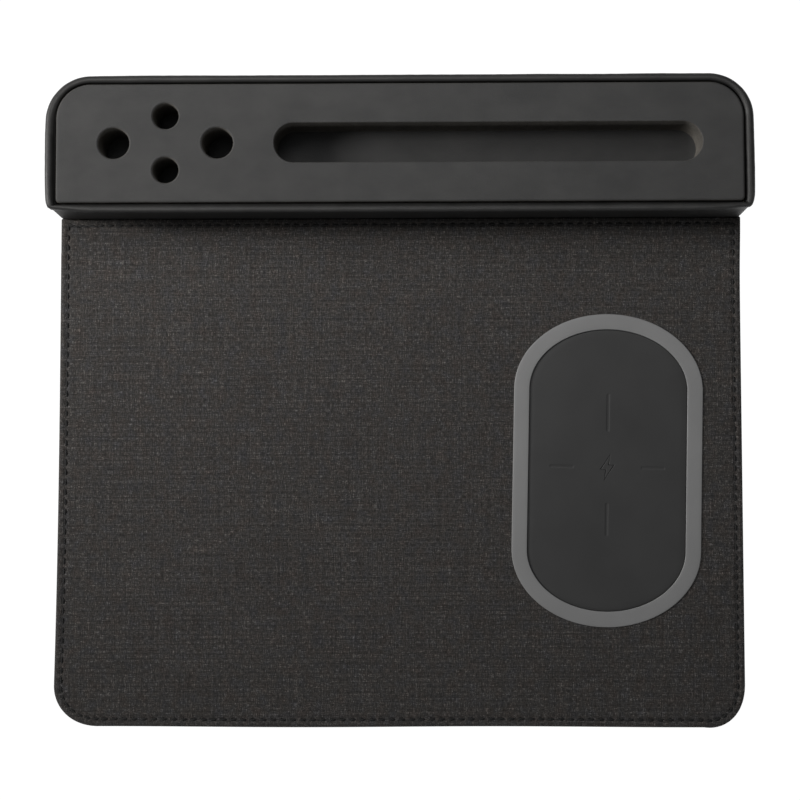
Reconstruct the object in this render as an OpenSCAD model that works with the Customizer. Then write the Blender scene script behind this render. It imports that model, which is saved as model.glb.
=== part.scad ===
// Desk mat with a wireless charging zone and a raised organiser bar along its rear edge.
// Millimetres. +Z is up, +Y is the rear edge with the bar, +X is the right side with the charging zone.

/* [Mat] */
// Width of the mat
mat_w = 270; // [250:1:300]
// Depth of the mat in front of the bar
mat_d = 201; // [180:1:240]
// Radius of the two front corners
mat_corner = 16.5; // [8:0.5:24]
// Rubberised sheet under the mat
base_t = 1.0; // [0.6:0.1:1.5]
// Dense core inside the mat
core_t = 3.2; // [3.2:0.1:5]
// Woven cover
fabric_t = 0.8; // [0.5:0.1:1.2]

/* [Edge stitching] */
// Distance of the seam from the mat's edge
seam_inset = 3.2; // [2:0.1:5]
// Distance from one stitch to the next
stitch_pitch = 3.9; // [3:0.1:6]
// Visible length of one stitch
stitch_len = 2.9; // [1.5:0.1:2.9]

/* [Charging zone] */
// Centre of the zone, from the middle of the mat
zone_x = 81.5; // [60:0.5:84]
// Centre of the zone, from the mat's front edge
zone_from_front = 100.5; // [85:0.5:110]
// Turn of the zone, clockwise from above
zone_turn = 1.3; // [-3:0.1:3]
// Width of the smooth panel
panel_w = 62.4; // [60:0.2:66]
// Length of the smooth panel
panel_l = 111.3; // [108:0.1:116]
// Length of each rounded end of the panel
panel_end = 24; // [22:0.5:28]
// Width of the trim band round the panel
ring_band = 6.1; // [4:0.1:7]
// Height of the trim band above the fabric
ring_rise = 0.5; // [0.3:0.1:1]
// Depth of the marks pressed into the panel
mark_depth = 0.25; // [0.1:0.05:0.4]
// How far the marks sit to the rear of the panel's middle
mark_shift = 1.1; // [0:0.1:2]

/* [Organiser bar] */
// Depth of the bar, front to rear
bar_d = 51; // [49:0.5:58]
// Height of the bar above the mat
bar_h = 25; // [25:0.5:32]
// Radius of the two rear corners
bar_rear_corner = 16; // [12:0.5:20]
// Radius of the two front corners
bar_front_corner = 2.5; // [2.5:0.1:3]
// How far the padded rim stands out past the side walls
rim_bulge = 1.3; // [1:0.1:1.5]
// Thickness of the wrap
wrap_t = 1.0; // [0.8:0.1:1.1]
// Thickness of the rigid surround under the wrap
frame_t = 1.5; // [1.2:0.1:1.6]

/* [Phone slot] */
// Length of the slot
slot_l = 165; // [140:1:172]
// Width of the slot
slot_w = 15.4; // [12:0.2:17]
// Depth of the slot
slot_depth = 16; // [14:0.5:16]
// Middle of the slot, from the middle of the bar
slot_x = 34.1; // [28:0.1:36]

/* [Pen holes] */
// Diameter of the left and right holes
pen_big_d = 12; // [8:0.5:13]
// Diameter of the front and rear holes
pen_small_d = 10; // [6:0.5:11]
// Depth of the pen holes
pen_depth = 20; // [17:0.5:20]
// Middle of the group of holes, from the middle of the bar
pen_x = -90.2; // [-94:0.1:-88]
// Left and right holes, from the middle of the group
pen_step_x = 20; // [17:0.5:21]
// Front and rear holes, from the middle of the group
pen_step_y = 10.5; // [8:0.1:12]

/* [Power inlet] */
// Middle of the inlet, from the middle of the bar
inlet_x = 81.5; // [60:0.5:84]

/* [Hidden] */
$fn = 64;
mat_top = base_t + core_t + fabric_t;
core_top = base_t + core_t;
y_front = -(mat_d + bar_d + rim_bulge) / 2;
y_bar = y_front + mat_d;
y_rear = y_bar + bar_d;
y_mid = (y_bar + y_rear) / 2;
bar_top = mat_top + bar_h;
block_top = bar_top - 0.5;
slot_floor = block_top - slot_depth;
pen_floor = block_top - pen_depth;
glue_gap = 0.05;
zone_y = y_front + zone_from_front;
zone_flat = panel_l / 2 - panel_end;
floor_t = 2;
floor_top = mat_top + floor_t;
frame_inset = wrap_t + frame_t;
block_inset = frame_inset + 0.2;
frame_top = bar_top - 4.4;
rim_r = (rim_bulge + frame_inset) / 2;
rim_x = (rim_bulge - frame_inset) / 2;
rim_z = bar_top - rim_r;
ledge_z = core_top - 0.3;
tray_floor = base_t + 0.6;
ferrite_t = 0.8;
wire_d = 1.1;
coil_id = 20;
coil_turns = 11;
board_top = tray_floor + 0.8;
inlet_z = floor_top + 1 + 1.63;
lead_y = y_bar + 18;
seam_y = y_bar - 3;

// ---- outlines shared by several pieces ----

// Rounded rectangle from y0 to y1 with its own radius for front and rear corners
module plan(w, y0, y1, rf, rr) {
    translate([-w / 2, y0 + rf])
        square([w, y1 - y0 - rf - rr]);
    translate([-w / 2 + rf, y0])
        square([w - 2 * rf, rf + 1]);
    translate([-w / 2 + rr, y1 - rr - 1])
        square([w - 2 * rr, rr + 1]);
    for (s = [-1, 1]) {
        translate([s * (w / 2 - rf), y0 + rf])
            circle(r = rf);
        translate([s * (w / 2 - rr), y1 - rr])
            circle(r = rr);
    }
}

module mat_plan(inset) {
    plan(mat_w - 2 * inset, y_front + inset, y_rear - inset, mat_corner - inset, bar_rear_corner - inset);
}

module bar_plan(inset) {
    plan(mat_w - 2 * inset, y_bar + inset, y_rear - inset,
         max(bar_front_corner - inset, 0.5), bar_rear_corner - inset);
}

// The zone's oval, grown by g on every side
module zone_oval(g) {
    half_w = panel_w / 2 + g;
    translate([-half_w, -zone_flat])
        square([2 * half_w, 2 * zone_flat]);
    for (s = [-1, 1])
        translate([0, s * zone_flat])
            scale([half_w, panel_end + g])
                circle(r = 1, $fn = 96);
}

module at_zone(z) {
    translate([zone_x, zone_y, z])
        rotate(-zone_turn)
            children();
}

module zone_plate(g, z, t) {
    at_zone(z)
        linear_extrude(t)
            zone_oval(g);
}

module capsule(l, w) {
    translate([-l / 2 + w / 2, -w / 2])
        square([l - w, w]);
    for (s = [-1, 1])
        translate([s * (l / 2 - w / 2), 0])
            circle(d = w);
}

// ---- mat ----

module base_sheet() {
    color("#1c1c1c")
        linear_extrude(base_t)
            mat_plan(0);
}

// Core with a window for the charging tray and a channel for the lead
module mat_core() {
    color("#1f1f1f")
        difference() {
            translate([0, 0, base_t])
                linear_extrude(core_t)
                    mat_plan(0.5);
            zone_plate(2, base_t - 1, core_t + 2);
            translate([zone_x - 3, zone_y + 45, base_t + 1])
                cube([6, lead_y + 3 - zone_y - 45, core_t]);
        }
}

module mat_fabric() {
    color("#3a3836")
        difference() {
            translate([0, 0, core_top])
                linear_extrude(fabric_t)
                    mat_plan(0.3);
            zone_plate(3, core_top - 1, fabric_t + 2);
            translate([zone_x - 3, lead_y - 3, core_top - 1])
                cube([6, 6, fabric_t + 2]);
        }
}

// One straight run of the seam, from the origin along +X, with a dip after every stitch
module seam_run(l) {
    count = floor(l / stitch_pitch);
    dip = l / count - stitch_len;
    difference() {
        translate([0, -0.28, 0])
            cube([l, 0.56, 0.35]);
        for (i = [1:count - 1])
            translate([i * l / count - dip / 2, -1, 0.15])
                cube([dip, 2, 1]);
    }
}

// The seam round one front corner, on the left when s is -1
module seam_corner(s) {
    r = mat_corner - seam_inset;
    count = floor(r * PI / 2 / stitch_pitch);
    dip = r * PI / 2 / count - stitch_len;
    translate([s * (mat_w / 2 - mat_corner), y_front + mat_corner, mat_top])
        difference() {
            rotate(s < 0 ? 180 : 270)
                rotate_extrude(angle = 90, $fn = 96)
                    translate([r - 0.28, 0])
                        square([0.56, 0.35]);
            for (i = [1:count - 1])
                rotate((s < 0 ? 180 : 270) + i * 90 / count)
                    translate([r - 1, -dip / 2, 0.15])
                        cube([2, dip, 1]);
        }
}

module edge_stitching() {
    side_x = mat_w / 2 - seam_inset;
    side_l = seam_y - y_front - mat_corner;
    color("#0c0c0c") {
        translate([-mat_w / 2 + mat_corner, y_front + seam_inset, mat_top])
            seam_run(mat_w - 2 * mat_corner);
        translate([-side_x, seam_y, mat_top])
            seam_run(2 * side_x);
        for (s = [-1, 1]) {
            translate([s * side_x, y_front + mat_corner, mat_top])
                rotate(90)
                    seam_run(side_l);
            seam_corner(s);
        }
    }
}

// ---- charging zone ----

// Trim band: a leg down the edge of the fabric and a flange over it
module charge_ring() {
    color("#6f7070")
        difference() {
            union() {
                zone_plate(2.9, core_top, fabric_t + 0.1);
                zone_plate(ring_band, mat_top, ring_rise - 0.2);
                zone_plate(ring_band - 0.25, mat_top + ring_rise - 0.2, 0.2);
            }
            zone_plate(0, core_top - 1, fabric_t + ring_rise + 2);
        }
}

module bolt_outline() {
    polygon([[-2.6, -0.8], [1.15, 5.1], [0.5, 0.8], [2.6, 0.8], [-1.15, -5.1], [-0.5, -0.8]]);
}

// Smooth lid with four aiming dashes and a bolt sign pressed into it
module charge_panel() {
    color("#353535")
        difference() {
            zone_plate(-0.1, ledge_z, 1);
            at_zone(ledge_z + 1 - mark_depth)
                translate([0, mark_shift, 0])
                    linear_extrude(1) {
                        difference() {
                            bolt_outline();
                            scale(0.55)
                                bolt_outline();
                        }
                        translate([0, 21.6])
                            rotate(90)
                                capsule(14.8, 1.1);
                        translate([0, -20.6])
                            rotate(90)
                                capsule(12.8, 1.1);
                        for (s = [-1, 1])
                            translate([s * 18, 0])
                                capsule(9.3, 1.1);
                    }
        }
}

// Tray that carries the coil and its board and holds the lid's edge
module coil_tray() {
    color("#232323")
        difference() {
            zone_plate(1.8, base_t, core_t);
            zone_plate(-1.2, tray_floor, core_t);
            zone_plate(0, ledge_z, core_t);
            at_zone(base_t + 1)
                translate([-2.6, 45, 0])
                    cube([5.2, 20, core_t]);
        }
}

module ferrite_sheet() {
    color("#2f2f33")
        at_zone(tray_floor)
            cylinder(d = 50, h = ferrite_t, $fn = 96);
}

// Flat coil of wire turns, with the two tails that run to the board
module transmit_coil() {
    color("#a5612c")
        at_zone(tray_floor + ferrite_t + wire_d / 2) {
            rotate_extrude($fn = 96)
                for (i = [0:coil_turns - 1])
                    translate([coil_id / 2 + (i + 0.5) * (wire_d - 0.04), 0])
                        circle(d = wire_d, $fn = 24);
            for (s = [-1, 1])
                translate([s * 3, 20, 0])
                    rotate([-90, 0, 0])
                        cylinder(d = 0.9, h = 10.5, $fn = 24);
        }
}

module control_board() {
    color("#1f5a3a")
        at_zone(tray_floor)
            translate([-15, 27.5, 0])
                cube([30, 18, board_top - tray_floor]);
}

module controller_chip() {
    color("#18181a")
        at_zone(board_top)
            translate([-11.5, 33.5, 0])
                cube([5.6, 5.6, 0.9]);
}

module power_inductor() {
    color("#3b3b40")
        at_zone(board_top)
            translate([9.3, 37, 0]) {
                cylinder(d = 6, h = 0.9, $fn = 48);
                cylinder(d = 3.4, h = 1.2, $fn = 48);
            }
}

module resonant_caps() {
    color("#8a7350")
        at_zone(board_top)
            for (i = [0:3])
                translate([-4 + i * 2.4, 34, 0])
                    cube([1.6, 3.2, 0.9]);
}

// Flat lead from the zone's board, along the channel and up to the inlet's board
module power_lead() {
    y_low = zone_y + 40;
    color("#111111")
        translate([zone_x - 2, 0, 0])
            rotate([90, 0, 90])
                linear_extrude(4)
                    polygon([[y_low, board_top], [lead_y + 1, board_top], [lead_y + 1, floor_top + 1],
                             [lead_y + 13, floor_top + 1], [lead_y + 13, floor_top + 1.9],
                             [lead_y, floor_top + 1.9], [lead_y, board_top + 0.9], [y_low, board_top + 0.9]]);
}

// ---- organiser bar ----

module bar_floor() {
    color("#6b5a45")
        difference() {
            translate([0, 0, mat_top])
                linear_extrude(floor_t)
                    bar_plan(frame_inset);
            translate([zone_x - 3, lead_y - 3, mat_top - 1])
                cube([6, 6, floor_t + 2]);
        }
}

module bar_frame() {
    color("#5d4d3b")
        difference() {
            translate([0, 0, mat_top])
                linear_extrude(frame_top - mat_top)
                    difference() {
                        bar_plan(wrap_t);
                        bar_plan(frame_inset);
                    }
            translate([inlet_x, y_rear - wrap_t - frame_t - 1, inlet_z])
                rotate([-90, 0, 0])
                    linear_extrude(frame_t + 2)
                        capsule(9.4, 3.7);
        }
}

// Arc of the padded rim's section, r mm in radius
function rim_arc(r) = [for (a = [-20:20:200]) [rim_x + r * cos(a), rim_z + r * sin(a)]];

// Carries a section round the bar; its x is measured outward from the side wall
module round_bar() {
    rr = bar_rear_corner;
    rf = bar_front_corner;
    for (s = [-1, 1]) {
        translate([s * (mat_w / 2 - rr), y_rear - rr, 0])
            rotate(s > 0 ? 0 : 90)
                rotate_extrude(angle = 90, $fn = 96)
                    translate([rr, 0])
                        children();
        translate([s * (mat_w / 2 - rf), y_bar + rf, 0])
            rotate(s > 0 ? 270 : 180)
                rotate_extrude(angle = 90, $fn = 48)
                    intersection() {
                        translate([rf, 0])
                            children();
                        square([rf + 10, 100]);
                    }
        translate([s * mat_w / 2, s > 0 ? y_rear - rr : y_bar + rf, 0])
            rotate([90, 0, s > 0 ? 0 : 180])
                linear_extrude(bar_d - rr - rf)
                    children();
    }
    translate([-mat_w / 2 + rr, y_rear, 0])
        rotate([90, 0, 90])
            linear_extrude(mat_w - 2 * rr)
                children();
    translate([mat_w / 2 - rf, y_bar, 0])
        rotate([90, 0, 270])
            linear_extrude(mat_w - 2 * rf)
                children();
}

module foam_section() {
    polygon(concat([[-0.4, frame_top]], rim_arc(rim_r - 0.8), [[rim_x - 1, frame_top]]));
}

module rim_foam() {
    color("#8c8c88")
        round_bar()
            foam_section();
}

// Wall and padded rim of the wrap, all the way round
module wrap_all() {
    round_bar()
        difference() {
            polygon(concat([[0, mat_top], [0, frame_top - 1.6], [0.6, frame_top]], rim_arc(rim_r),
                           [[-frame_inset, frame_top], [-wrap_t, frame_top], [-wrap_t, mat_top]]));
            foam_section();
        }
}

// The part of the bar the front strip covers, mitred at the two front corners
module front_zone() {
    translate([0, 0, mat_top - 1])
        linear_extrude(bar_h + 2)
            polygon([[-mat_w / 2 - 5, y_bar - 5], [mat_w / 2 + 5, y_bar - 5],
                     [mat_w / 2 - 8, y_bar + 8], [-mat_w / 2 + 8, y_bar + 8]]);
}

module wrap_surround() {
    color("#242424")
        difference() {
            wrap_all();
            front_zone();
            translate([inlet_x, y_rear - wrap_t - 1, inlet_z])
                rotate([-90, 0, 0])
                    linear_extrude(wrap_t + 2)
                        capsule(14, 7);
        }
}

module wrap_front() {
    color("#2a2a2a")
        intersection() {
            wrap_all();
            front_zone();
        }
}

// Room for the inlet and its board
module inlet_pocket() {
    translate([inlet_x - 11, lead_y - 3, floor_top - 1])
        cube([22, y_rear - lead_y, 5.6]);
}

// Base layer under the insert, which closes the pen holes at the bottom
module insert_base() {
    color("#2b2b2b")
        difference() {
            translate([0, 0, floor_top])
                linear_extrude(pen_floor - floor_top - glue_gap)
                    bar_plan(block_inset);
            inlet_pocket();
        }
}

// Foam block with the phone slot cut into it and the pen holes right through it
module insert_block() {
    color("#3c3c3c")
        difference() {
            union() {
                translate([0, 0, pen_floor])
                    linear_extrude(pen_depth - 0.6)
                        bar_plan(block_inset);
                translate([0, 0, block_top - 0.6])
                    linear_extrude(0.6)
                        bar_plan(block_inset + 0.4);
            }
            translate([slot_x, y_mid, slot_floor])
                linear_extrude(30)
                    capsule(slot_l, slot_w);
            for (s = [-1, 1]) {
                translate([pen_x + s * pen_step_x, y_mid, pen_floor - 1])
                    cylinder(d = pen_big_d, h = 30);
                translate([pen_x, y_mid + s * pen_step_y, pen_floor - 1])
                    cylinder(d = pen_small_d, h = 30);
            }
            inlet_pocket();
        }
}

// ---- power inlet ----

module socket_board() {
    color("#1f5a3a")
        translate([inlet_x - 8, y_rear - frame_inset - 15, floor_top])
            cube([16, 14, 1]);
}

module usb_socket() {
    color("#b8bcc0")
        translate([inlet_x, y_rear - 7.4, inlet_z])
            rotate([-90, 0, 0])
                difference() {
                    linear_extrude(7.4)
                        capsule(8.94, 3.26);
                    translate([0, 0, 0.8])
                        linear_extrude(8)
                            capsule(8.34, 2.6);
                }
}

module usb_tongue() {
    color("#101010")
        translate([inlet_x - 3.35, y_rear - 6.6, inlet_z - 0.35])
            cube([6.7, 4.6, 0.7]);
}

module socket_bezel() {
    color("#1a1a1a")
        translate([inlet_x, y_rear - wrap_t, inlet_z])
            rotate([-90, 0, 0])
                difference() {
                    linear_extrude(wrap_t + 0.3)
                        capsule(13.8, 6.8);
                    translate([0, 0, -1])
                        linear_extrude(wrap_t + 3)
                            capsule(9.1, 3.42);
                }
}

base_sheet();
mat_core();
mat_fabric();
edge_stitching();
charge_ring();
charge_panel();
coil_tray();
ferrite_sheet();
transmit_coil();
control_board();
controller_chip();
power_inductor();
resonant_caps();
power_lead();
bar_floor();
bar_frame();
rim_foam();
wrap_surround();
wrap_front();
insert_base();
insert_block();
socket_board();
usb_socket();
usb_tongue();
socket_bezel();
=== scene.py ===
"""Looks for the desk mat with a wireless charging zone and an organiser bar, built round the CAD frame."""

import math

import bmesh
import bpy
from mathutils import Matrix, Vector, noise
from mathutils.geometry import delaunay_2d_cdt


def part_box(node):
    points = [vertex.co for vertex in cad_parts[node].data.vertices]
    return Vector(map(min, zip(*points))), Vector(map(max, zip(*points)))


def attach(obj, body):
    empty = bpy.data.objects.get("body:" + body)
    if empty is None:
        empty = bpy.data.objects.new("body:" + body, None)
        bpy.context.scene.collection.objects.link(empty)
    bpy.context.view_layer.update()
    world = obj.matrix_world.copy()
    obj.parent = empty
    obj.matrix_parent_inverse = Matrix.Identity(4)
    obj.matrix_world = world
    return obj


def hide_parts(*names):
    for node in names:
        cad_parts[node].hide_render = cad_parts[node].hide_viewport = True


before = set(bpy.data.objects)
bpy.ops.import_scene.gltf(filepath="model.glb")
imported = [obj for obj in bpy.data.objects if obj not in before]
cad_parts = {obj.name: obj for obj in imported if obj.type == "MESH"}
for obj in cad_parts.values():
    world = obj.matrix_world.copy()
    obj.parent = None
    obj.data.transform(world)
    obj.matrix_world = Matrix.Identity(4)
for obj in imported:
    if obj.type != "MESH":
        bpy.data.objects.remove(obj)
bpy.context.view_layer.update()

MM = 0.001
TAU = 2 * math.pi
# Points closer than this are one, in metres
WELD_M = 2e-6
# Filled regions with twice a smaller area than this, in square millimetres, are numerical slivers
LEAST_DOUBLED_AREA = 1e-4


def node_mm(name):
    """A CAD node's lowest and highest corners, in millimetres."""
    low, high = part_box(name)
    return [v / MM for v in low], [v / MM for v in high]


# -------- sizes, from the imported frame

base_low, base_high = node_mm("base_sheet")
fabric_low, fabric_high = node_mm("mat_fabric")
block_low, block_high = node_mm("insert_block")
_, wrap_high = node_mm("wrap_surround")
ring_low, ring_high = node_mm("charge_ring")
lid_low, lid_high = node_mm("charge_panel")

HALF_W = base_high[0]
Y_FRONT = base_low[1]
Y_REAR = base_high[1]
FABRIC_Z = fabric_high[2]
FABRIC_BOTTOM = fabric_low[2]
BLOCK_GAP = HALF_W - block_high[0]
Y_BAR = block_low[1] - BLOCK_GAP
Y_MID = (Y_BAR + Y_REAR) / 2
BLOCK_TOP = block_high[2]
BAR_TOP = wrap_high[2]
ZONE = ((ring_low[0] + ring_high[0]) / 2, (ring_low[1] + ring_high[1]) / 2)

# Sizes repeated from part.scad, in millimetres
MAT_CORNER = 16.5
BAR_REAR_CORNER = 16.0
BAR_FRONT_CORNER = 2.5
FRAME_INSET = 2.5
WRAP_T = 1.0
RIM_BULGE = 1.3
RIM_R = (RIM_BULGE + FRAME_INSET) / 2
RIM_X = (RIM_BULGE - FRAME_INSET) / 2
RIM_Z = BAR_TOP - RIM_R
FRAME_TOP = BAR_TOP - 4.4
SEAM_INSET = 3.2
STITCH_PITCH = 3.9
STITCH_LEN = 2.9
ZONE_TURN = math.radians(-1.3)
PANEL_HALF_W = 31.2
PANEL_END = 24.0
ZONE_FLAT = 111.3 / 2 - PANEL_END
RING_BAND = 6.1
SLOT = (34.1, 165.0, 15.4, 16.0)
PEN_X = -90.2
PEN_STEP = (20.0, 10.5)
PEN_D = (12.0, 10.0)


# -------- camera and light

FOCAL_MM = 76.5
SENSOR_MM = 36.0
CAMERA_AT = (6.0, -34.4, 677.2)
CAMERA_TURN = (3.076, 0.542, -0.137)
WORLD_STRENGTH = 0.15
# name, place in metres, what it faces, size, power, colour
LAMPS = [
    ("key", (-0.67, 0.15, 0.39), (-0.06, 1.00, 0.09), (0.20, 0.20), 13.0, (1.0, 0.985, 0.965)),
    ("soft_top", (-0.05, 0.30, 0.42), (0.0, 0.16, 0.0), (0.50, 0.14), 0.6, (1.0, 0.995, 0.985)),
    ("fill", (-0.10, 0.28, 0.60), (0.0, 0.20, 0.0), (0.50, 0.30), 0.9, (0.97, 0.985, 1.0)),
    ("front", (0.05, -1.60, 0.66), (0.0, 0.07, 0.02), (0.60, 0.40), 4.3, (0.98, 0.99, 1.0)),
]


def add_camera():
    cam = bpy.data.cameras.new("camera")
    cam.sensor_width = SENSOR_MM
    cam.lens = FOCAL_MM
    cam.clip_start = 0.05
    cam.clip_end = 30.0
    obj = bpy.data.objects.new("camera", cam)
    bpy.context.scene.collection.objects.link(obj)
    obj.location = [v * MM for v in CAMERA_AT]
    obj.rotation_euler = [math.radians(v) for v in CAMERA_TURN]
    bpy.context.scene.camera = obj


def add_lamp(name, place, target, size, power, colour):
    light = bpy.data.lights.new(name, "AREA")
    light.shape = "RECTANGLE"
    light.size, light.size_y = size
    light.energy = power
    light.color = colour
    obj = bpy.data.objects.new(name, light)
    bpy.context.scene.collection.objects.link(obj)
    obj.location = place
    obj.rotation_euler = (Vector(target) - Vector(place)).to_track_quat("-Z", "Y").to_euler()


def add_world():
    world = bpy.data.worlds.new("studio")
    world.use_nodes = True
    background = world.node_tree.nodes["Background"]
    background.inputs["Color"].default_value = (0.98, 0.99, 1.0, 1.0)
    background.inputs["Strength"].default_value = WORLD_STRENGTH
    bpy.context.scene.world = world


add_camera()
add_world()
for lamp in LAMPS:
    add_lamp(*lamp)
bpy.context.scene.view_settings.view_transform = "Standard"
bpy.context.scene.view_settings.look = "None"


# -------- node materials

class Shader:
    """Builds one material's node tree. Lengths in millimetres, taken from object coordinates."""

    def __init__(self, name, **constants):
        self.mat = bpy.data.materials.new(name)
        self.mat.use_nodes = True
        self.tree = self.mat.node_tree
        self.tree.nodes.clear()
        self.out = self.tree.nodes.new("ShaderNodeOutputMaterial")
        self.bsdf = self.tree.nodes.new("ShaderNodeBsdfPrincipled")
        self.tree.links.new(self.bsdf.outputs["BSDF"], self.out.inputs["Surface"])
        for key, value in constants.items():
            self.bsdf.inputs[key].default_value = value
        self.coords = self.tree.nodes.new("ShaderNodeTexCoord")
        scaled = self.tree.nodes.new("ShaderNodeVectorMath")
        scaled.operation = "SCALE"
        scaled.inputs["Scale"].default_value = 1000.0
        self.link(self.coords.outputs["Object"], scaled.inputs[0])
        self.mm = scaled.outputs["Vector"]

    def link(self, source, socket):
        if hasattr(source, "is_output"):
            self.tree.links.new(source, socket)
        else:
            socket.default_value = source

    def split(self, vector):
        """A vector's parts, by the names X, Y and Z."""
        node = self.tree.nodes.new("ShaderNodeSeparateXYZ")
        self.tree.links.new(vector, node.inputs[0])
        return node.outputs

    def math(self, operation, a, b=0.5, c=None, clamp=False):
        node = self.tree.nodes.new("ShaderNodeMath")
        node.operation = operation
        node.use_clamp = clamp
        self.link(a, node.inputs[0])
        self.link(b, node.inputs[1])
        if c is not None:
            self.link(c, node.inputs[2])
        return node.outputs[0]

    def stretched(self, size):
        """Coordinates divided by a feature size along X, Y and Z."""
        node = self.tree.nodes.new("ShaderNodeMapping")
        node.inputs["Scale"].default_value = [1.0 / s for s in size]
        self.link(self.mm, node.inputs["Vector"])
        return node.outputs["Vector"]

    def noise(self, size, detail=2.0, rough=0.5):
        node = self.tree.nodes.new("ShaderNodeTexNoise")
        node.inputs["Scale"].default_value = 1.0
        node.inputs["Detail"].default_value = detail
        node.inputs["Roughness"].default_value = rough
        self.link(self.stretched(size), node.inputs["Vector"])
        return node.outputs["Fac"]

    def cells(self, size, feature="F1", smooth=None):
        node = self.tree.nodes.new("ShaderNodeTexVoronoi")
        node.feature = feature
        node.inputs["Scale"].default_value = 1.0
        if smooth is not None:
            node.inputs["Smoothness"].default_value = smooth
        self.link(self.stretched(size), node.inputs["Vector"])
        return node.outputs["Distance"]

    def wave(self, axis, period, distortion=0.0, detail_scale=1.0):
        node = self.tree.nodes.new("ShaderNodeTexWave")
        node.wave_type = "BANDS"
        node.bands_direction = axis
        node.inputs["Scale"].default_value = 1.0
        node.inputs["Distortion"].default_value = distortion
        node.inputs["Detail"].default_value = 1.0
        node.inputs["Detail Scale"].default_value = detail_scale
        # Blender's bands repeat every pi / 10 units at a scale of 1
        self.link(self.stretched([period / (math.pi / 10)] * 3), node.inputs["Vector"])
        return node.outputs["Fac"]

    def fold_over_edges(self):
        """Lets a flat pattern run on down the upright edges: height counts along both X and Y."""
        parts = self.split(self.mm)
        join = self.tree.nodes.new("ShaderNodeCombineXYZ")
        for axis in ("X", "Y"):
            run = self.math("ADD", parts[axis], parts["Z"])
            self.tree.links.new(run, join.inputs[axis])
        self.mm = join.outputs[0]

    def height_share(self, low, high):
        """Height from low to high, in millimetres, as 0 to 1."""
        above = self.math("SUBTRACT", self.split(self.mm)["Z"], low)
        return self.math("DIVIDE", above, high - low, clamp=True)

    def facing_up(self):
        """How level the surface is: 0 on an upright wall, 1 on a top or a floor."""
        return self.math("ABSOLUTE", self.split(self.coords.outputs["Normal"])["Z"])

    def leaning(self, x, y):
        """How far the surface faces (x, y) in plan: 0 on a top, 1 on a wall."""
        parts = self.split(self.coords.outputs["Normal"])
        across = self.math("MULTIPLY", parts["X"], x)
        return self.math("MULTIPLY_ADD", parts["Y"], y, across, clamp=True)

    def ramp(self, value, stops):
        node = self.tree.nodes.new("ShaderNodeValToRGB")
        node.color_ramp.interpolation = "LINEAR"
        elements = node.color_ramp.elements
        while len(elements) < len(stops):
            elements.new(0.5)
        for element, (place, colour) in zip(elements, stops):
            element.position = place
            element.color = (*colour, 1.0) if hasattr(colour, "__len__") else (colour,) * 3 + (1.0,)
        self.link(value, node.inputs["Fac"])
        return node.outputs["Color"]

    def mix(self, factor, a, b, mode="MIX"):
        node = self.tree.nodes.new("ShaderNodeMix")
        node.data_type = "RGBA"
        node.blend_type = mode
        self.link(factor, node.inputs["Factor"])
        for value, name in ((a, "A"), (b, "B")):
            self.paint(value, [s for s in node.inputs if s.name == name and s.type == "RGBA"][0])
        return [s for s in node.outputs if s.type == "RGBA"][0]

    def paint(self, value, socket):
        self.link(value if hasattr(value, "is_output") else (*value, 1.0), socket)

    def colour(self, value):
        self.paint(value, self.bsdf.inputs["Base Color"])

    def roughness(self, pattern, low, high, start=0.3, end=0.7):
        """From low to high as the pattern goes from start to end."""
        self.link(self.ramp(pattern, [(start, low), (end, high)]), self.bsdf.inputs["Roughness"])

    def bump(self, *layers):
        """Layers of relief on one another, each given as its height and its depth in millimetres."""
        normal = None
        for height, depth in layers:
            node = self.tree.nodes.new("ShaderNodeBump")
            node.inputs["Strength"].default_value = 1.0
            node.inputs["Distance"].default_value = depth * MM
            self.link(height, node.inputs["Height"])
            if normal is not None:
                self.link(normal, node.inputs["Normal"])
            normal = node.outputs["Normal"]
        self.link(normal, self.bsdf.inputs["Normal"])


def grey(value, warm=0.0):
    """A linear colour from an sRGB grey level, 0 to 255, leaning warm or cool."""
    linear = ((value / 255 + 0.055) / 1.055) ** 2.4
    return (linear * (1 + warm), linear, linear * (1 - warm))


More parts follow.
